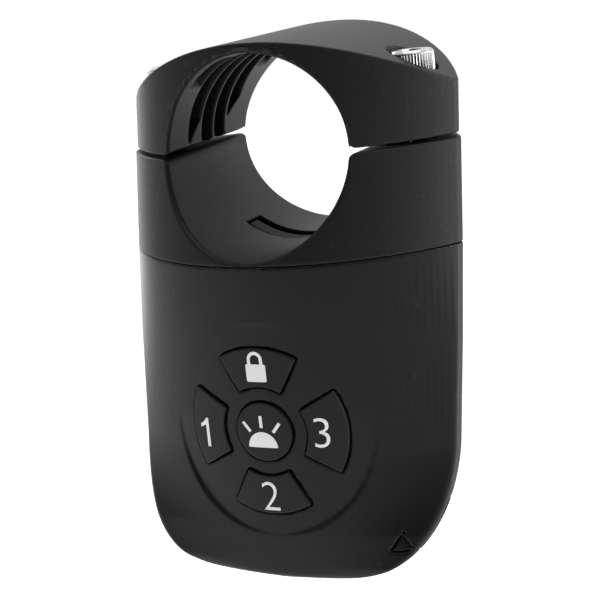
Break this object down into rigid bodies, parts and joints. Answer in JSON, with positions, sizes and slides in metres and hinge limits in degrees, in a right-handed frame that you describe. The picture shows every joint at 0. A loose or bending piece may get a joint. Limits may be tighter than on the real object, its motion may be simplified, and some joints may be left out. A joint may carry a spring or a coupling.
{
  "type": "clamp-on tube alarm",
  "caption": "Battery alarm with a keypad and siren that clamps round a handlebar or frame tube between a cradle and a screwed cap.",
  "frame": {"origin": "on the axis of the clamped tube, half way along the clamp and on the split between cap and cradle", "axes": "+Y along the tube, away from the keypad; +Z from the keypad end up to the cap; +X to the right of someone facing the keypad"},
  "size_m": [0.0592, 0.0433, 0.0869],
  "materials": {
    "casing_plastic": "fine moulded texture",
    "housing_plastic": "satin",
    "key_plastic": "satin",
    "plated_steel": "bright",
    "black_steel": "black oxide",
    "brass": "satin",
    "black_rubber": "matte",
    "grey_silicone": "matte",
    "board_laminate": "solder mask",
    "chip_epoxy": "moulded epoxy",
    "cell_jacket": "printed sleeve",
    "tray_plastic": "matte",
    "red_insulation": "satin",
    "black_insulation": "satin"
  },
  "bodies": {
    "housing": {"housing": "housing_plastic", "cradle": "casing_plastic", "siren_grille": "housing_plastic", "seam_gasket": "black_rubber", "thread_insert_left": "brass", "thread_insert_right": "brass", "grip_strip": "black_rubber", "housing_screw_left": "black_steel", "housing_screw_right": "black_steel", "circuit_board": "board_laminate", "board_screw_left": "black_steel", "board_screw_right": "black_steel", "switch_alarm": "chip_epoxy", "switch_lock": "chip_epoxy", "switch_one": "chip_epoxy", "switch_two": "chip_epoxy", "switch_three": "chip_epoxy", "keypad_mat": "grey_silicone", "microcontroller": "chip_epoxy", "driver_coil": "chip_epoxy", "vibration_sensor": "plated_steel", "battery_tray": "tray_plastic", "battery_cell_left": "cell_jacket", "battery_cell_right": "cell_jacket", "battery_spring_left": "plated_steel", "battery_spring_right": "plated_steel", "battery_contact": "plated_steel", "battery_wire_red": "red_insulation", "battery_wire_black": "black_insulation", "siren_body": "chip_epoxy", "siren_diaphragm": "brass"},
    "cap": {"clamp_cap": "casing_plastic"},
    "screw_right": {"clamp_screw_right": "plated_steel"},
    "screw_left": {"clamp_screw_left": "plated_steel"},
    "lock_key": {"lock_key": "key_plastic"},
    "key_one": {"key_one": "key_plastic"},
    "key_two": {"key_two": "key_plastic"},
    "key_three": {"key_three": "key_plastic"},
    "alarm_key": {"alarm_key": "key_plastic"}
  },
  "joints": [
    {"name": "screw_right_spin", "type": "hinge", "parent": "cap", "child": "screw_right", "pos_m": [0.0223, 0, 0.0095], "axis": [0, 0, 1], "range_deg": [-180, 3600]},
    {"name": "cap_lift", "type": "slide", "parent": "housing", "child": "cap", "axis": [0, 0, 1], "range_m": [-0.00035, 0.007]},
    {"name": "screw_left_spin", "type": "hinge", "parent": "cap", "child": "screw_left", "pos_m": [-0.0223, 0, 0.0095], "axis": [0, 0, 1], "range_deg": [-180, 3600]},
    {"name": "lock_key_press", "type": "slide", "parent": "housing", "child": "lock_key", "axis": [0, 1, 0], "range_m": [0, 0.0006], "stiffness_N_per_m": 1500},
    {"name": "key_one_press", "type": "slide", "parent": "housing", "child": "key_one", "axis": [0, 1, 0], "range_m": [0, 0.0006], "stiffness_N_per_m": 1500},
    {"name": "key_two_press", "type": "slide", "parent": "housing", "child": "key_two", "axis": [0, 1, 0], "range_m": [0, 0.0006], "stiffness_N_per_m": 1500},
    {"name": "key_three_press", "type": "slide", "parent": "housing", "child": "key_three", "axis": [0, 1, 0], "range_m": [0, 0.0006], "stiffness_N_per_m": 1500},
    {"name": "alarm_key_press", "type": "slide", "parent": "housing", "child": "alarm_key", "axis": [0, 1, 0], "range_m": [0, 0.0006], "stiffness_N_per_m": 1500}
  ],
  "couplings": [
    {"joint": "screw_right_spin", "follows": "cap_lift", "rad_per_m": 8976},
    {"joint": "screw_left_spin", "follows": "cap_lift", "rad_per_m": 8976}
  ]
}
